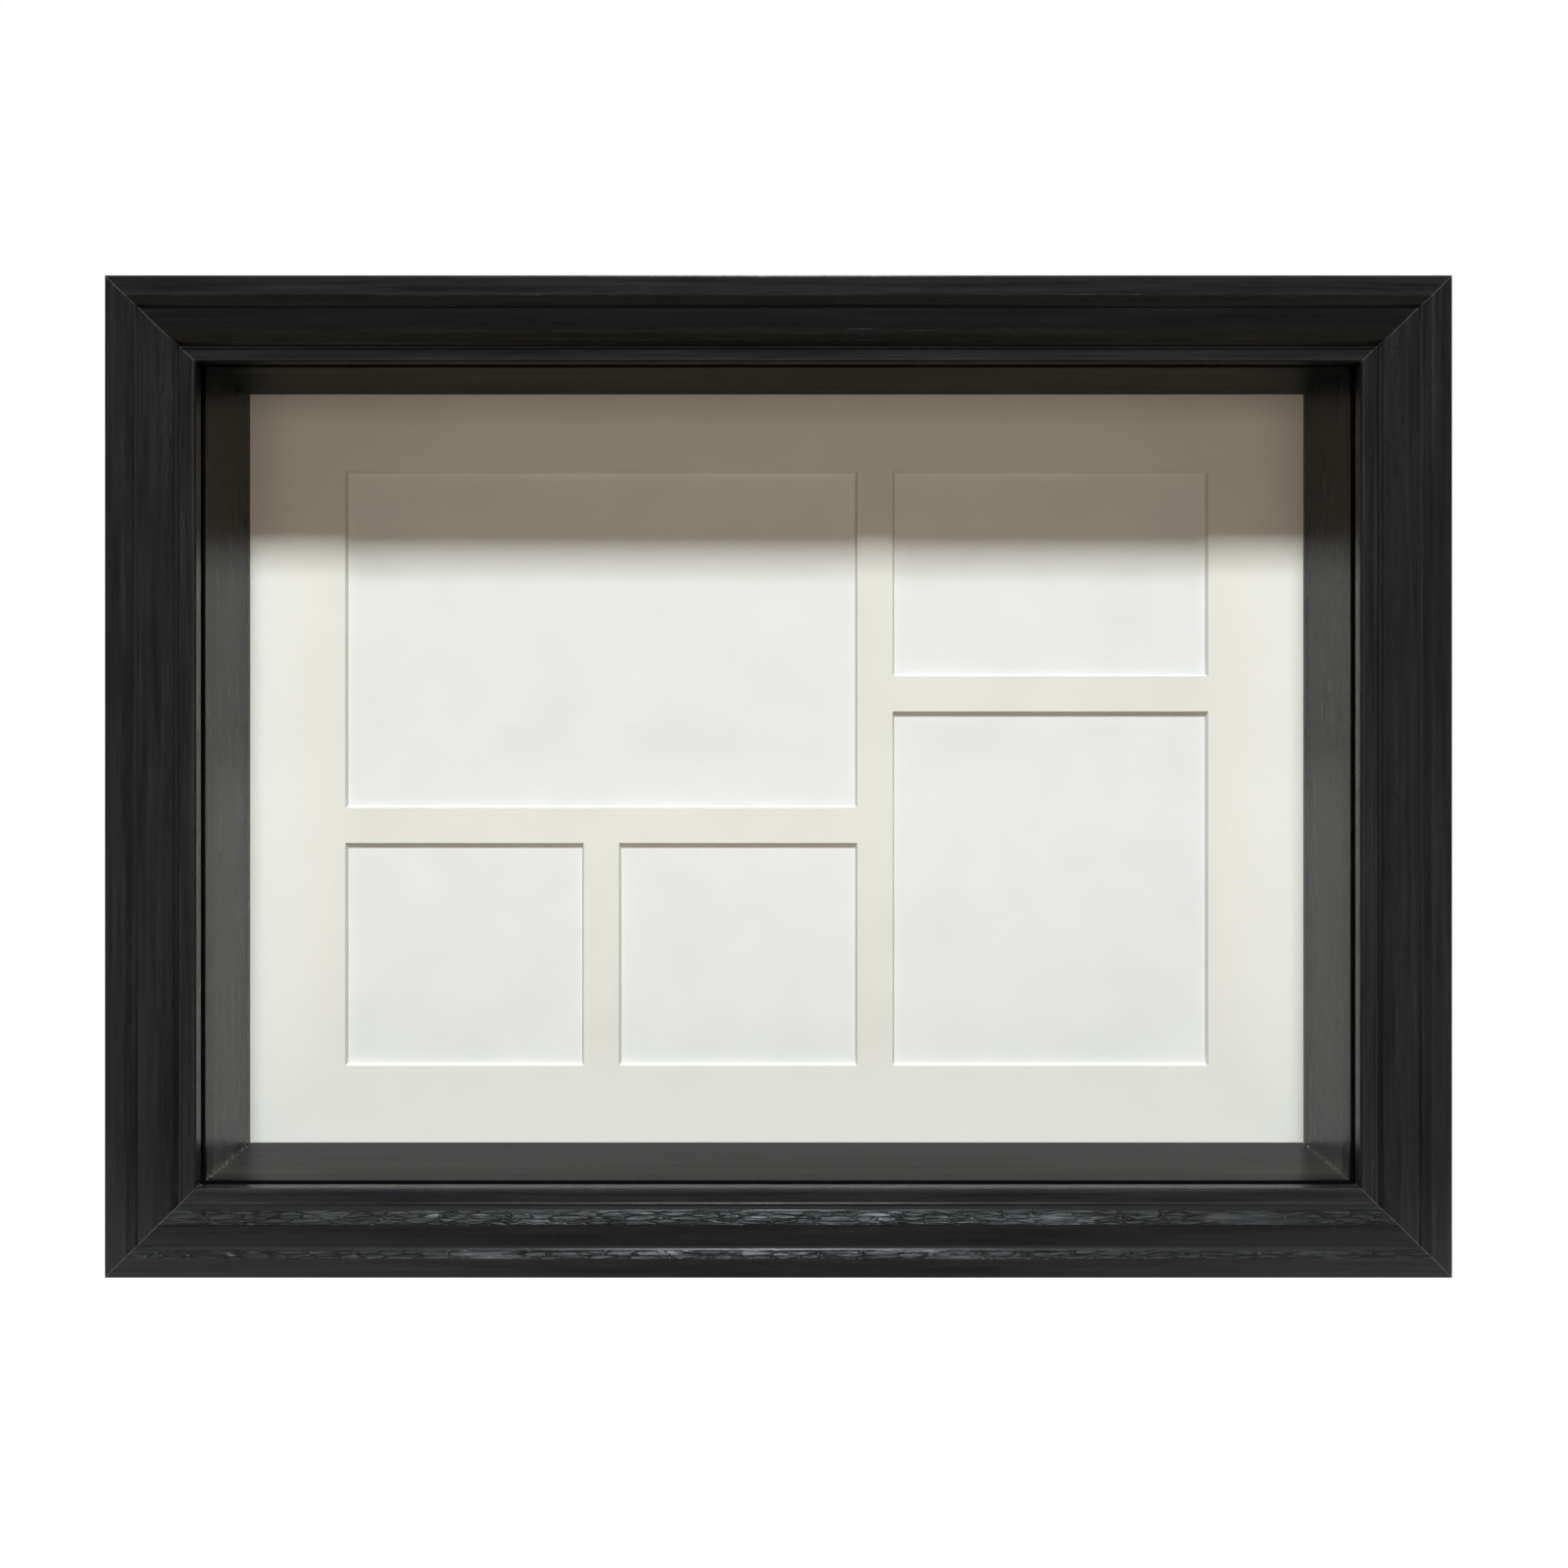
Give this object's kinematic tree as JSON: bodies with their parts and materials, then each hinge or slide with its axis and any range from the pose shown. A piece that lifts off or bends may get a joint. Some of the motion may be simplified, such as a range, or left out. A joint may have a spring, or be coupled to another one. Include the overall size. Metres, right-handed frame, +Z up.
{
  "type": "collage photo frame",
  "caption": "Deep box photo frame with mitred moulded rails, glass, black inner walls and a bevel-cut mat with several windows; turn buttons hold the back and rings hang it.",
  "frame": {"origin": "bottom centre of the overall box, on the surface that the frame stands on", "axes": "+X to the right as seen from the front, +Y to the back, +Z up"},
  "size_m": [0.34, 0.0516, 0.253],
  "materials": {
    "black_wood": "black stained open-grain wood, satin",
    "spacer_wood": "black lacquered thin wood, satin",
    "clear_glass": "clear float glass",
    "mat_card": "off-white mat board, fine tooth",
    "white_paper": "smooth white paper",
    "hardboard": "brown pressed hardboard",
    "zinc_steel": "bright zinc plated",
    "nickel_steel": "nickel plated",
    "rubber": "matte moulded rubber"
  },
  "bodies": {
    "frame": {"top_rail": "black_wood", "bottom_rail": "black_wood", "left_rail": "black_wood", "right_rail": "black_wood", "top_spacer": "spacer_wood", "bottom_spacer": "spacer_wood", "left_spacer": "spacer_wood", "right_spacer": "spacer_wood", "corner_nails": "zinc_steel", "front_glass": "clear_glass", "mat_board": "mat_card", "insert_sheet": "white_paper", "backing_board": "hardboard", "turn_button_screws": "zinc_steel", "hanger_strap_left": "nickel_steel", "hanger_strap_right": "nickel_steel", "hanger_screws": "zinc_steel", "wall_bumpers": "rubber"},
    "turn_button_top_left": {"turn_button_top_left": "zinc_steel"},
    "turn_button_top_right": {"turn_button_top_right": "zinc_steel"},
    "turn_button_bottom_left": {"turn_button_bottom_left": "zinc_steel"},
    "turn_button_bottom_right": {"turn_button_bottom_right": "zinc_steel"},
    "turn_button_left": {"turn_button_left": "zinc_steel"},
    "turn_button_right": {"turn_button_right": "zinc_steel"},
    "hanger_ring_left": {"hanger_ring_left": "nickel_steel"},
    "hanger_ring_right": {"hanger_ring_right": "nickel_steel"}
  },
  "joints": [
    {"name": "turn_button_top_left_turn", "type": "hinge", "parent": "frame", "child": "turn_button_top_left", "pos_m": [-0.085, 0.0218, 0.246], "axis": [0, 1, 0], "continuous": true},
    {"name": "turn_button_top_right_turn", "type": "hinge", "parent": "frame", "child": "turn_button_top_right", "pos_m": [0.085, 0.0218, 0.246], "axis": [0, 1, 0], "continuous": true},
    {"name": "turn_button_bottom_left_turn", "type": "hinge", "parent": "frame", "child": "turn_button_bottom_left", "pos_m": [-0.085, 0.0218, 0.007], "axis": [0, 1, 0], "continuous": true},
    {"name": "turn_button_bottom_right_turn", "type": "hinge", "parent": "frame", "child": "turn_button_bottom_right", "pos_m": [0.085, 0.0218, 0.007], "axis": [0, 1, 0], "continuous": true},
    {"name": "turn_button_left_turn", "type": "hinge", "parent": "frame", "child": "turn_button_left", "pos_m": [-0.163, 0.0218, 0.1265], "axis": [0, 1, 0], "continuous": true},
    {"name": "turn_button_right_turn", "type": "hinge", "parent": "frame", "child": "turn_button_right", "pos_m": [0.163, 0.0218, 0.1265], "axis": [0, 1, 0], "continuous": true},
    {"name": "hanger_ring_left_swing", "type": "hinge", "parent": "frame", "child": "hanger_ring_left", "pos_m": [-0.163, 0.0236, 0.198], "axis": [1, 0, 0], "range_deg": [0, 180]},
    {"name": "hanger_ring_right_swing", "type": "hinge", "parent": "frame", "child": "hanger_ring_right", "pos_m": [0.163, 0.0236, 0.198], "axis": [1, 0, 0], "range_deg": [0, 180]}
  ]
}
